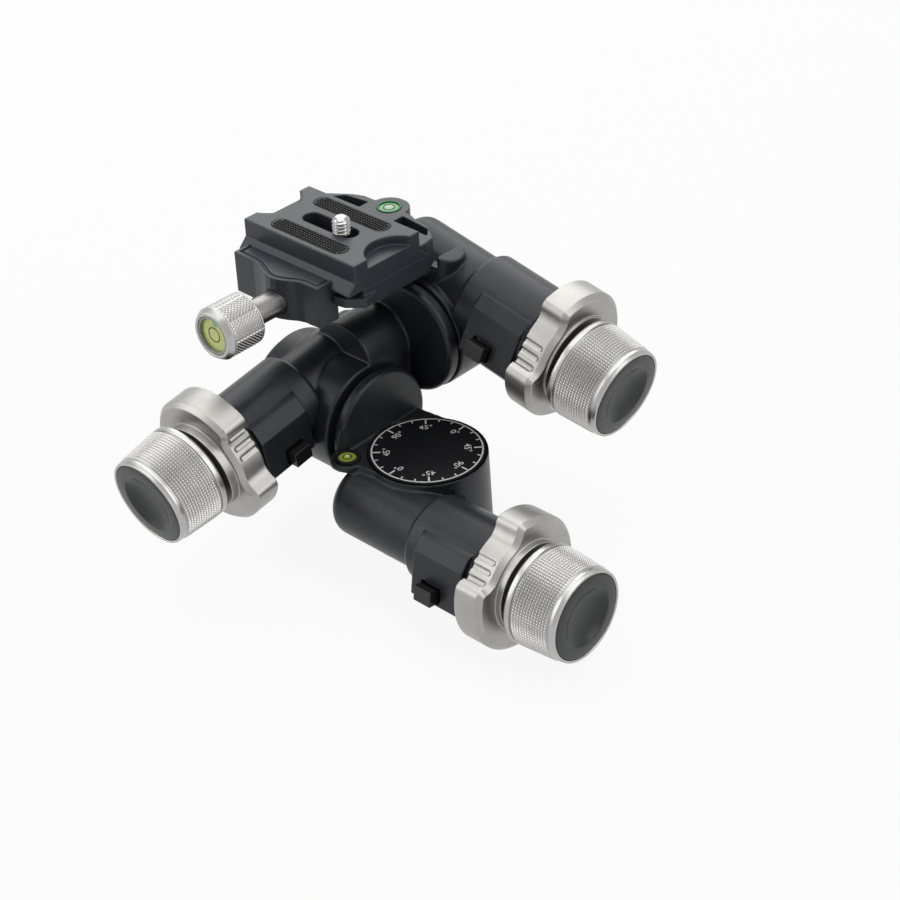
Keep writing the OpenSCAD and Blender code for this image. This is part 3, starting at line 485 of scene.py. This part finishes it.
# Voxel size and passes of easing for each kind of casting
for node_name in ("body1_housing", "body2_housing", "body3_housing"):
    cast_copy(node_name, CAST, 0.4, 8)
for node_name in ("pan_sleeve", "tilt_sleeve", "roll_sleeve"):
    cast_copy(node_name, SLEEVE, 0.3, 3)
cast_copy("clamp_body", PLATE, 0.25, 6)
cast_copy("qr_plate", PLATE, 0.22, 8)
cast_copy("clamp_jaw", PLATE, 0.18, 7, cuts=[jaw_groove()])
for node_name in ("pan_button", "tilt_button", "roll_button"):
    cast_copy(node_name, BUTTON, 0.12, 5)

COLLAR_U0, COLLAR_W, COLLAR_R, NOSE_R = 45.7, 10.6, 18.6, 13.5
# The groove's ends, measured back from the knob, and its outer radius
GAP_FROM, GAP_TO, GAP_R = 2.4, 0.3, 24.0
# Grip slots: angle in the hollow and how far out
SLOTS = ((4, 0.5), (15, 0.5), (26, 1.2))
SLOT_R, SLOT_STOP = 1.2, 2.6
# Angle of the wings, shift along the barrel, and the outline's offset from the barrel's axis
COLLARS = {
    "pan": (37, 0.8, (0.2, 0.5)),
    "tilt": (110, 0.0, (0.9, -1.0)),
    "roll": (55, 0.0, (0.8, 1.0)),
}


def collar_cuts(stage):
    """Groove between hub and knob, which bares the black nose, and the grip slots in both hollows."""
    at, reach = STAGES[stage]
    angle, shift, (ecc_y, ecc_z) = COLLARS[stage]
    back = KNOB_BACK + reach
    bore = NOSE_R - 0.05
    ring = [(bore, back - GAP_FROM), (GAP_R, back - GAP_FROM), (GAP_R, back - GAP_TO), (bore, back - GAP_TO)]
    v, f = lathe(ring + ring[:1], 120)
    cuts = [([at @ Vector(p) for p in v], f)]
    for side in (0, 180):
        for turn, out in SLOTS:
            a = radians(angle + 90 + side + turn)
            r = COLLAR_R + out
            u0, u1 = COLLAR_U0 + shift - 1, COLLAR_U0 + shift + COLLAR_W - SLOT_STOP
            v, f = lathe([(0, u0), (SLOT_R, u0), (SLOT_R, u1 - 1.0), (0.8, u1 - 0.2), (0, u1)], 20)
            move = Matrix.Translation((0, ecc_y + r * cos(a), ecc_z + r * sin(a)))
            cuts.append(([at @ move @ Vector(p) for p in v], f))
    return cuts


for stage_name in COLLARS:
    cast_copy(stage_name + "_collar", SILVER, 0.2, 2, cuts=collar_cuts(stage_name))


# ---------------------------------------------------------------- knobs and caps
CROWN_FROM, CROWN_TO = 0.34, 0.66   # flat top of a knurl's cell, as shares of the cell


def square_knurl(r0, u0, r1, u1, around, rows, depth):
    """Square knurl on a cone: each cell is a small truncated pyramid; returns verts and faces from u0 to u1."""
    verts, faces = [], []

    def at(r, u, turns):
        a = 2 * pi * turns / around
        return (u, r * cos(a), r * sin(a))

    for j in range(rows + 1):
        f = j / rows
        r = r0 + (r1 - r0) * f - depth
        verts += [at(r, u0 + (u1 - u0) * f, k) for k in range(around)]
    for j in range(rows):
        for k in range(around):
            a, b = j * around + k, j * around + (k + 1) % around
            c, d = b + around, a + around
            top = len(verts)
            for du, dk in ((CROWN_FROM, CROWN_FROM), (CROWN_FROM, CROWN_TO),
                           (CROWN_TO, CROWN_TO), (CROWN_TO, CROWN_FROM)):
                f = (j + du) / rows
                verts.append(at(r0 + (r1 - r0) * f, u0 + (u1 - u0) * f, k + dk))
            t = [top, top + 1, top + 2, top + 3]
            faces += [t, [a, b, t[1], t[0]], [b, c, t[2], t[1]], [c, d, t[3], t[2]], [d, a, t[0], t[3]]]
    return verts, faces


DIAMOND_STEP = 4        # points across a diamond
DIAMOND_DROP = 0.3      # how far the plain lines lie below the knurl's root, as a share of its depth


def diamond_knurl(r, u0, u1, around, rows, depth, sections, gap):
    """Diamond knurl on a cylinder, broken by plain lines between its sections."""
    step = DIAMOND_STEP
    n, m = around * step, rows * step
    verts, faces = [], []
    for j in range(m + 1):
        for k in range(n):
            s, t = ((k + j) / step) % 1, ((k - j) / step) % 1
            h = min(1 - abs(2 * s - 1), 1 - abs(2 * t - 1))
            part = k / n * sections
            if abs(part - round(part)) * 2 * pi * r / sections < gap:
                h = -DIAMOND_DROP
            if j in (0, m):
                h = 0.0
            a, rr = 2 * pi * k / n, r - depth * (1 - h)
            verts.append((u0 + (u1 - u0) * j / m, rr * cos(a), rr * sin(a)))
    for j in range(m):
        for k in range(n):
            a, b = j * n + k, j * n + (k + 1) % n
            faces.append([a, b, b + n, a + n])
    return verts, faces


def join(*parts):
    """One list of points and faces from several."""
    verts, faces = [], []
    for v, f in parts:
        base = len(verts)
        verts += v
        faces += [[i + base for i in p] for p in f]
    return verts, faces


BORE_R = 3.02
KNURL_AROUND, KNURL_ROWS, KNURL_DEPTH = 104, 13, 0.46
DISH_R, DISH_DEPTH, DISH_POWER, DISH_STEPS = 10.5, 2.8, 2.9, 24


def big_knob(stage):
    """Knob with a back ring, a knurled cone and a front rim, and its dished finger cap."""
    at, reach = STAGES[stage]
    at = at @ Matrix.Translation((reach, 0, 0))
    b, e = KNOB_BACK, KNOB_BACK + KNOB_LEN
    around, rows, depth = KNURL_AROUND, KNURL_ROWS, KNURL_DEPTH
    k0, k1 = b + 3.3, e - 3.1
    rk0, rk1 = KNOB_R - 0.02, KNOB_FRONT_R + 0.36
    back = [(BORE_R, b), (KNOB_R - 0.9, b)] + arc(KNOB_R - 0.9, b + 0.9, 0.9, -90, 0)
    back += arc(KNOB_R - 0.35, b + 2.2, 0.35, 0, 60, 4) + [(KNOB_R - 0.62, b + 2.6), (KNOB_R - 0.62, b + 3.0)]
    back += [(rk0 - depth, k0)]
    front = [(rk1 - depth, k1), (KNOB_FRONT_R - 0.4, e - 2.9), (KNOB_FRONT_R - 0.4, e - 2.55)]
    front += arc(KNOB_FRONT_R - 0.3, e - 2.2, 0.3, -80, 0, 4) + arc(KNOB_FRONT_R - 0.35, e - 1.35, 0.35, 0, 40, 3)
    front += arc(CAP_R + 0.75, e - 0.35, 0.35, 40, 90, 4) + arc(CAP_R + 0.36, e - 0.3, 0.3, 90, 180, 4)
    front += [(CAP_R + 0.06, e - 3.2), (BORE_R, e - 3.2), (BORE_R, b)]
    knurl = square_knurl(rk0, k0, rk1, k1, around, rows, depth)
    verts, faces = join(lathe(back, around), knurl, lathe(front, around))
    knob = add_piece(stage + "_knob_knurled", verts, faces, KNURL, stage + "_drive", at, 25)
    tidy_mesh(knob.data, WELD)
    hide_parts(stage + "_knob")
    cap = [(0.0, e - 3.1), (CAP_R - 0.02, e - 3.1)] + arc(CAP_R - 0.5, e - 0.55, 0.48, 0, 60, 5)
    cap += [(14.2, e + 0.02), (11.1, e + 0.18), (10.8, e + 0.16), (10.6, e + 0.06)]
    lip = e - 0.02
    for t in range(DISH_STEPS):
        share = 1 - t / DISH_STEPS
        cap.append((DISH_R * share, lip - DISH_DEPTH * (1 - share ** DISH_POWER)))
    cap.append((0.0, lip - DISH_DEPTH))
    v, f = lathe(cap, 96)
    piece = add_piece(stage + "_cap_dished", v, f, CAP, stage + "_drive", at, 40)
    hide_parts(stage + "_cap")


for stage_name in STAGES:
    big_knob(stage_name)


# ---------------------------------------------------------------- clamp knob
CLAMP_KNOB_R, CLAMP_KNOB_U0, CLAMP_KNOB_U1 = 9.4, 33.95, 49.55
DIAMOND_AROUND, DIAMOND_ROWS, DIAMOND_DEPTH = 44, 9, 0.34
DIAMOND_SECTIONS, DIAMOND_GAP = 8, 0.36
LENS_R, STEM_R = 7.0, 4.7
AT_STEM = place(CLAMP_X, 0, STEM_Z, (-pi / 2, "Z"))


def small_knob():
    """Clamp knob with a diamond knurl in sections and a rim around the level in its end."""
    r, a, b = CLAMP_KNOB_R, CLAMP_KNOB_U0, CLAMP_KNOB_U1
    around, depth = DIAMOND_AROUND, DIAMOND_DEPTH
    k0, k1 = a + 0.5, b - 2.6
    back = [(STEM_R + 0.02, a - 0.9), (r - 2.0, a - 0.9)] + arc(r - 1.9, a - 0.6, 0.3, -90, 0, 4)
    back += [(r - 1.6, a - 0.1), (r - 1.9, a), (r - 0.5, a)] + arc(r - 0.5, a + 0.3, 0.3, -90, 0, 4)
    back += [(r - depth, k0)]
    front = [(r - depth, k1), (r - 0.45, k1 + 0.1), (r - 0.1, k1 + 0.25), (r, k1 + 0.45), (r, b - 2.0)]
    front += [(r - 0.06, b - 1.85), (r - 1.15, b - 0.2)] + arc(r - 1.45, b - 0.25, 0.25, 20, 90, 4)
    front += arc(LENS_R + 0.22, b - 0.2, 0.2, 90, 180, 4) + [(LENS_R + 0.02, b - 2.2), (STEM_R + 0.02, b - 2.2)]
    front += [(STEM_R + 0.02, a - 0.9)]
    n = around * DIAMOND_STEP
    knurl = diamond_knurl(r, k0, k1, around, DIAMOND_ROWS, depth, DIAMOND_SECTIONS, DIAMOND_GAP)
    verts, faces = join(lathe(back, n), knurl, lathe(front, n))
    knob = add_piece("clamp_knob_knurled", verts, faces, KNURL, "clamp_drive", AT_STEM, 25)
    tidy_mesh(knob.data, WELD)
    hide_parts("clamp_knob")


small_knob()


# ---------------------------------------------------------------- bubble levels
LINE_HALF, LINE_T = 0.17, 0.05


def flat_ring(r, u):
    """Thin ring about local X, its top at station u."""
    r0, r1 = r - LINE_HALF, r + LINE_HALF
    return lathe([(r0, u - LINE_T), (r0, u), (r1, u), (r1, u - LINE_T), (r0, u - LINE_T)], 64)


def bubble_level(node, body, at, size, mats, line_r, bubble):
    """Round vial about local X with its top at station 0: rim, sunk domed fluid, black circle and bubble.

    The size is the radius, the depth, the rim's width and how deep the fluid is sunk. The bubble is its place
    across the vial and its radius.
    """
    r, depth, rim_w, sink = size
    rim_mat, fluid_mat, bubble_mat = mats
    bubble_y, bubble_z, bubble_r = bubble
    inner = r - rim_w
    bed, rise = -sink - 0.28, 0.26

    def height(d):
        return bed + rise * sqrt(max(0.0, 1 - (d / inner) ** 2))

    rim = [(0, -depth), (r - 0.02, -depth), (r - 0.02, -0.3)] + arc(r - 0.27, -0.25, 0.25, 0, 90, 4)
    rim += arc(inner + 0.2, -0.2, 0.2, 90, 180, 4) + [(inner, bed - 0.22), (0, bed - 0.22)]
    v, f = lathe(rim, 96)
    piece = add_piece(node + "_rim", v, f, rim_mat, body, at, 40)
    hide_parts(node)
    steps = [k / 10 for k in range(10)]
    dome = [(0, bed - 0.22), (inner - 0.02, bed - 0.22)]
    dome += [((inner - 0.02) * cos(t * pi / 2), bed + rise * sin(t * pi / 2)) for t in steps] + [(0, bed + rise)]
    v, f = lathe(dome, 96)
    add_piece(node + "_fluid", v, f, fluid_mat, body, at, 60)
    v, f = flat_ring(line_r, height(line_r) + LINE_T)
    add_piece(node + "_circle", v, f, RING, body, at, 40)
    top = height(hypot(bubble_y, bubble_z))
    drop = [(0, top - 0.3)]
    drop += [(bubble_r * cos(t * pi / 2), top - 0.06 + 0.12 * sin(t * pi / 2)) for t in steps] + [(0, top + 0.06)]
    v, f = lathe(drop, 48)
    v = [(x, y + bubble_y, z + bubble_z) for x, y, z in v]
    add_piece(node + "_bubble", v, f, bubble_mat, body, at, 60)


LEVEL_X, LEVEL_Y, LEVEL_R = -18.2, -20.6, 4.4
LUG_X, LUG_Y, LUG_Z = CLAMP_X - 1.6, CLAMP_Y + 29.8, PLATE_Z - 5.7
UPWARDS = (-pi / 2, "Y")
bubble_level("pan_level", "pan_stage", place(LEVEL_X, LEVEL_Y, DIAL_Z + 0.3, UPWARDS),
             (LEVEL_R, 1.9, 1.2, 0.3), (BLACK_AND_HOLE_SHADE, OLIVE, BUBBLE), 1.5, (0.4, 0.5, 0.8))
bubble_level("clamp_level", "roll_stage", place(LUG_X, LUG_Y, LUG_Z, UPWARDS),
             (LEVEL_R, 2.1, 0.7, 0.35), (GREEN, VIAL, PEARL), 2.0, (0.1, 0.1, 1.5))
bubble_level("knob_level", "clamp_drive", AT_STEM @ Matrix.Translation((CLAMP_KNOB_U1 - 0.2, 0, 0)),
             (LENS_R, 2.0, 0.9, 0.9), (CLEAR, FLUID, SHADE), 2.6, (0.6, 3.9, 1.3))


# ---------------------------------------------------------------- dial print
DIAL_RING_R, TICK_IN_LONG, TICK_IN_SHORT, NUMBER_R, NUMBER_SIZE = 19.2, 16.1, 17.6, 13.9, 3.5
RING_HALF, LONG_HALF, SHORT_HALF = 0.26, 0.3, 0.24
PRINT_GAP, PRINT_T = 0.005, 0.03


def slab(points, z):
    """Flat bar of the print."""
    n = len(points)
    verts = [(x, y, z) for x, y in points] + [(x, y, z + PRINT_T) for x, y in points]
    faces = [list(range(n))[::-1], list(range(n, 2 * n))]
    faces += [[k, (k + 1) % n, n + (k + 1) % n, n + k] for k in range(n)]
    return verts, faces


def number_mesh(text, turn):
    """Flat mesh of a number, its top turned outwards."""
    curve = bpy.data.curves.new("number", "FONT")
    curve.body, curve.size, curve.align_x, curve.align_y = text, NUMBER_SIZE, "CENTER", "CENTER"
    curve.extrude = PRINT_T / 2
    ob = bpy.data.objects.new("number", curve)
    bpy.context.scene.collection.objects.link(ob)
    data = bpy.data.meshes.new_from_object(ob.evaluated_get(bpy.context.evaluated_depsgraph_get()))
    bpy.data.objects.remove(ob)
    bpy.data.curves.remove(curve)
    at = Matrix.Rotation(turn, 4, "Z") @ Matrix.Translation((0, NUMBER_R, DIAL_Z + PRINT_GAP + PRINT_T / 2))
    out = [tuple(at @ v.co) for v in data.vertices], [list(p.vertices) for p in data.polygons]
    bpy.data.meshes.remove(data)
    return out


def dial_print():
    """Ring, ticks every 15 degrees and plain numbers every 45 degrees."""
    z = DIAL_Z + PRINT_GAP

    def circle(r, n=120):
        return [(r * cos(2 * pi * k / n), r * sin(2 * pi * k / n)) for k in range(n)]

    parts = [loop_wall(circle(DIAL_RING_R + RING_HALF), circle(DIAL_RING_R - RING_HALF), z, z + PRINT_T)]
    for k in range(24):
        turn = radians(15 * k)
        lo, w = (TICK_IN_LONG, LONG_HALF) if k % 3 == 0 else (TICK_IN_SHORT, SHORT_HALF)
        bar = [(-w, lo), (w, lo), (w, DIAL_RING_R), (-w, DIAL_RING_R)]
        parts.append(slab([(x * cos(turn) - y * sin(turn), x * sin(turn) + y * cos(turn)) for x, y in bar], z))
    for k, text in enumerate(("0°", "45°", "90°", "45°") * 2):
        parts.append(number_mesh(text, radians(45 * k)))
    v, f = join(*parts)
    add_piece("dial_scale", v, f, PRINT, "base", None, 40)


dial_print()


# ---------------------------------------------------------------- camera screw and rubber strips
SCREW_X = CLAMP_X + 5.2
SCREW_R, SCREW_ROOT, SCREW_PITCH = 3.175, 2.55, 1.27
END_LEN, END_TAPER = 1.7, 0.42
ROOT_FLAT, FLANK = 0.12, 0.72       # shares of half the pitch
PLATE_Z0 = PLATE_Z - 10.6


def camera_screw():
    """Quarter-inch screw: thread with a domed end, and its round head in the plate."""
    z0, z1 = PLATE_Z - 1.2, PLATE_Z + 5.0
    n, rows = 72, 88
    verts, faces = [], []
    for j in range(rows + 1):
        z = z0 + (z1 - z0) * j / rows
        limit = SCREW_R * (1 - END_TAPER * max(0.0, (z - z1) / END_LEN + 1) ** 2)
        for k in range(n):
            phase = (z / SCREW_PITCH - k / n) % 1
            h = min(1.0, max(0.0, (1 - abs(2 * phase - 1) - ROOT_FLAT) / FLANK))
            r = min(SCREW_ROOT + (SCREW_R - SCREW_ROOT) * h, limit)
            verts.append((z, r * cos(2 * pi * k / n), r * sin(2 * pi * k / n)))
    for j in range(rows):
        for k in range(n):
            a, b = j * n + k, j * n + (k + 1) % n
            faces.append([a, b, b + n, a + n])
    top_r = SCREW_R * (1 - END_TAPER)
    top = lathe([(top_r, z1), (top_r - 0.3, z1 + 0.13), (top_r - 0.8, z1 + 0.25), (0, z1 + 0.3)], n)
    h0, h1 = PLATE_Z0 + 1.7, PLATE_Z0 + 4.1
    head = [(0, h0), (6.2, h0), (6.4, h0 + 0.2), (6.4, h1 - 0.2), (6.2, h1), (2.7, h1), (2.7, z0), (0, z0)]
    v, f = join((verts, faces), top, lathe(head, n))
    at = place(SCREW_X, CLAMP_Y, 0, UPWARDS)
    piece = add_piece("camera_screw_threaded", v, f, STEEL, "plate_screw", at, 40)
    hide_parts("camera_screw")


camera_screw()

STRIP_Y, STRIP_HALF, STRIP_W = 10.1, 17.28, 6.36
STUD_PITCH, STUD_HALF, STUD_CROWN, STUD_TALL = 1.2, 0.44, 0.3, 0.42
STUD_COLS, STUD_ROWS, STUD_EDGE = 27, 5, 0.5


def rubber_strip(node, side):
    """Rubber strip with a grid of small square studs."""
    n = 16
    cx, w = STRIP_HALF - STRIP_W / 2, STRIP_W / 2
    turns = [pi * (k / n - 0.5) for k in range(n + 1)]
    rim = [(s * cx + s * w * cos(a), s * w * sin(a)) for s in (1, -1) for a in turns]
    z0, z1 = PLATE_Z - 1.0, PLATE_Z + 0.06
    ease = inset(rim, 0.2)
    m = len(rim)
    verts = [(x, y, z0) for x, y in rim] + [(x, y, z1 - 0.2) for x, y in rim] + [(x, y, z1) for x, y in ease]
    faces = [list(range(m))[::-1], list(range(2 * m, 3 * m))]
    for k in range(m):
        q = (k + 1) % m
        faces += [[k, q, m + q, m + k], [m + k, m + q, 2 * m + q, 2 * m + k]]
    for i in range(STUD_COLS):
        for j in range(STUD_ROWS):
            x, y = (i - (STUD_COLS - 1) / 2) * STUD_PITCH, (j - (STUD_ROWS - 1) / 2) * STUD_PITCH
            over = max(0.0, abs(x) - cx)
            if hypot(over, y) + STUD_EDGE > w:
                continue
            base = len(verts)
            for h, z in ((STUD_HALF, z1 - 0.05), (STUD_CROWN, z1 + STUD_TALL)):
                verts += [(x - h, y - h, z), (x + h, y - h, z), (x + h, y + h, z), (x - h, y + h, z)]
            faces.append([base + 4, base + 5, base + 6, base + 7])
            faces += [[base + k, base + (k + 1) % 4, base + 4 + (k + 1) % 4, base + 4 + k] for k in range(4)]
            faces.append([base + 3, base + 2, base + 1, base])
    at = place(CLAMP_X, CLAMP_Y + side * STRIP_Y, 0)
    piece = add_piece(node + "_studded", verts, faces, RUBBER, "plate", at, 30)
    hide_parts(node)


rubber_strip("strip_front", -1)
rubber_strip("strip_rear", 1)


# ---------------------------------------------------------------- grub screws in the pan housing
def grub_screw(name, body, angle, z, r):
    """Small screw set in the round wall at the given angle: a ring with a round hollow, near black as its own
    black and as painted shade of its hole.
    """
    at = place(0, 0, z, (radians(angle), "Z")) @ Matrix.Translation((r, 0, 0))
    ring = [(1.5, -0.6), (1.5, 0.02), (1.35, 0.12), (1.15, 0.12), (1.05, 0.0), (1.05, -0.5)]
    v, f = lathe(ring + [(0, -0.5)], 32)
    add_piece(name, v, f, BLACK_AND_HOLE_SHADE, body, at, 40)


grub_screw("pan_grub_upper", "pan_stage", -25.5, 34.0, DRUM_R + 0.12)
grub_screw("pan_grub_lower", "pan_stage", -15.0, 29.6, DRUM_R + 0.25)
